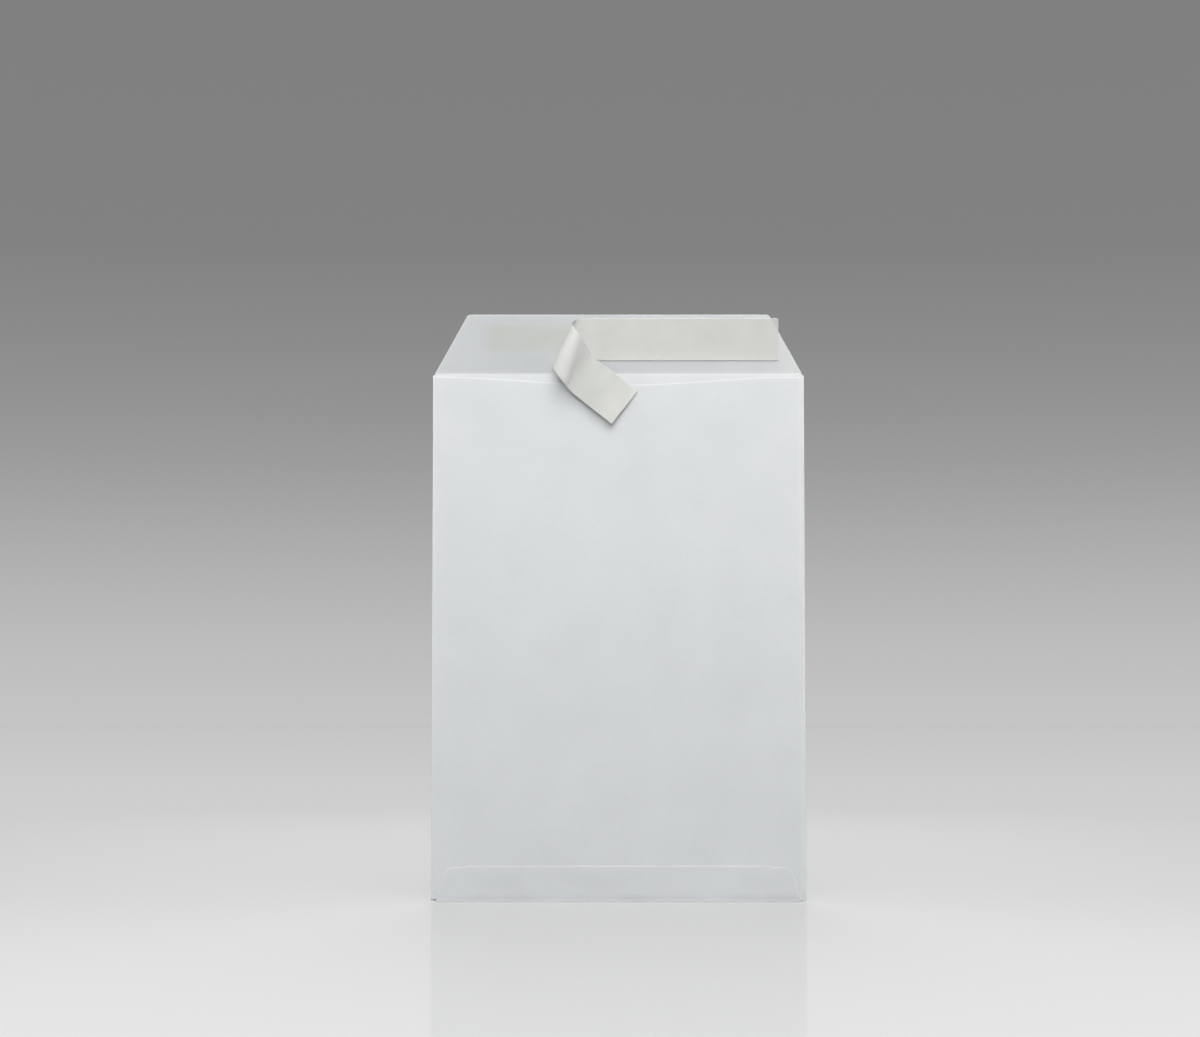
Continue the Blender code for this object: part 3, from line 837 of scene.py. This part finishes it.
# Near distances matter most, so the ramp runs on 1 / (y + 2) and holds its value past its end
RAMP_SHIFT = 2.0
nearest = RAMP_SHIFT + FLOOR_GLOW[-1][0]
shifted = add_node(tree, "ShaderNodeMath", {0: y, 1: RAMP_SHIFT}, operation="ADD").outputs[0]
held = add_node(tree, "ShaderNodeMath", {0: shifted, 1: nearest}, operation="MAXIMUM").outputs[0]
inverse = add_node(tree, "ShaderNodeMath", {0: 1.0, 1: held}, operation="DIVIDE").outputs[0]
ramp = add_node(tree, "ShaderNodeValToRGB", {0: inverse})
ramp.color_ramp.interpolation = "CARDINAL"
stops = ramp.color_ramp.elements
for number, (distance, grey) in enumerate(FLOOR_GLOW):
    stop = stops[number] if number < 2 else stops.new(1.0)
    stop.position = 1 / (distance + RAMP_SHIFT)
    stop.color = (grey, grey, grey, 1.0)
rays = add_node(tree, "ShaderNodeLightPath", {})
glow_seen = add_node(tree, "ShaderNodeEmission", {
    "Color": ramp.outputs["Color"], "Strength": rays.outputs["Is Camera Ray"],
}).outputs[0]
white = add_node(tree, "ShaderNodeBsdfDiffuse", {
    "Color": (FLOOR_WHITE, FLOOR_WHITE, FLOOR_WHITE, 1.0),
}).outputs[0]
gloss = add_node(tree, "ShaderNodeBsdfGlossy", {
    "Color": (1, 1, 1, 1), "Roughness": FLOOR_ROUGHNESS,
}).outputs[0]
body = add_node(tree, "ShaderNodeAddShader", {0: white, 1: glow_seen}).outputs[0]
mixed = add_node(tree, "ShaderNodeMixShader", {0: FLOOR_GLOSS, 1: body, 2: gloss})
add_node(tree, "ShaderNodeOutputMaterial", {"Surface": mixed.outputs[0]})
floor_mesh.materials.append(floor_material)

# The sweep: a hanging sheet of grey paper far behind, darker with height, seen by the camera
# alone. Mirrored rays see white, and what lights the envelope is a weak even fill.
# Its stops are pairs of the sine of the angle above the horizon and a grey.
SWEEP_GREYS = ((0.0, "C5C5C5"), (0.08, "A2A2A2"), (0.165, "828282"))
FILL_STRENGTH = 0.19

world = bpy.data.worlds.new("studio")
bpy.context.scene.world = world
world.use_nodes = True
tree = world.node_tree
tree.nodes.clear()
direction = add_node(tree, "ShaderNodeTexCoord", {}).outputs["Generated"]
sine = add_node(tree, "ShaderNodeSeparateXYZ", {0: direction}).outputs["Z"]
ramp = add_node(tree, "ShaderNodeValToRGB", {0: sine})
ramp.color_ramp.interpolation = "CARDINAL"
stops = ramp.color_ramp.elements
for number, (height, grey) in enumerate(SWEEP_GREYS):
    stop = stops[number] if number < 2 else stops.new(1.0)
    stop.position = height
    stop.color = linear(grey)
rays = add_node(tree, "ShaderNodeLightPath", {})
seen = add_node(tree, "ShaderNodeBackground", {
    "Color": ramp.outputs["Color"], "Strength": 1.0,
}).outputs[0]
mirrored = add_node(tree, "ShaderNodeBackground", {
    "Color": (1, 1, 1, 1), "Strength": 1.0,
}).outputs[0]
fill = add_node(tree, "ShaderNodeBackground", {
    "Color": (1, 1, 1, 1), "Strength": FILL_STRENGTH,
}).outputs[0]
unseen = add_node(tree, "ShaderNodeMixShader", {
    0: rays.outputs["Is Glossy Ray"], 1: fill, 2: mirrored,
}).outputs[0]
either = add_node(tree, "ShaderNodeMixShader", {
    0: rays.outputs["Is Camera Ray"], 1: unseen, 2: seen,
}).outputs[0]
add_node(tree, "ShaderNodeOutputWorld", {"Surface": either})

# The lamps: five soft boxes at a plain level, the strongest above and in front, and one
# behind for the plain side. Places, aims and sizes are in metres, and spreads in degrees.


def soft_box(name, place, aim, size, watts, spread):
    """A square soft light turned to face its aim, unseen by the camera and by mirrored rays."""
    light = bpy.data.lights.new(name, "AREA")
    light.shape = "SQUARE"
    light.size = size
    light.spread = radians(spread)
    light.energy = watts
    lamp = bpy.data.objects.new(name, light)
    lamp.location = place
    lamp.rotation_euler = (Vector(aim) - Vector(place)).to_track_quat("-Z", "Y").to_euler()
    lamp.visible_camera = False
    lamp.visible_glossy = False
    bpy.context.scene.collection.objects.link(lamp)


MIDDLE = (0, 0, 0.2)
soft_box("key_light", (0.05, -0.65, 1.0), (0, 0, 0.25), size=0.7, watts=5.4, spread=180)
soft_box("front_light", (0.0, -2.4, 0.8), MIDDLE, size=0.9, watts=2.55, spread=60)
soft_box("left_light", (-1.3, -0.4, 0.75), MIDDLE, size=0.6, watts=0.6, spread=180)
soft_box("right_light", (1.3, -0.4, 0.75), MIDDLE, size=0.6, watts=0.3, spread=180)
soft_box("back_light", (0.0, 2.4, 1.0), MIDDLE, size=0.9, watts=3.5, spread=50)

# The camera: 1.74 m in front of the envelope at a third of its height, tilted a little up,
# which puts the pocket's edges where the photo has them, and the curled tail's near them.
CAMERA_PLACE = (-0.0114, -1.740, 0.111)
CAMERA_TILT = radians(4.06)

camera = bpy.data.cameras.new("camera")
camera.lens = 85.0
camera.sensor_width = 36.0
camera.clip_end = 200.0
eye = bpy.data.objects.new("camera", camera)
eye.location = CAMERA_PLACE
eye.rotation_euler = (pi / 2 + CAMERA_TILT, 0, 0)
bpy.context.scene.collection.objects.link(eye)
bpy.context.scene.camera = eye
bpy.context.scene.view_settings.view_transform = "Standard"
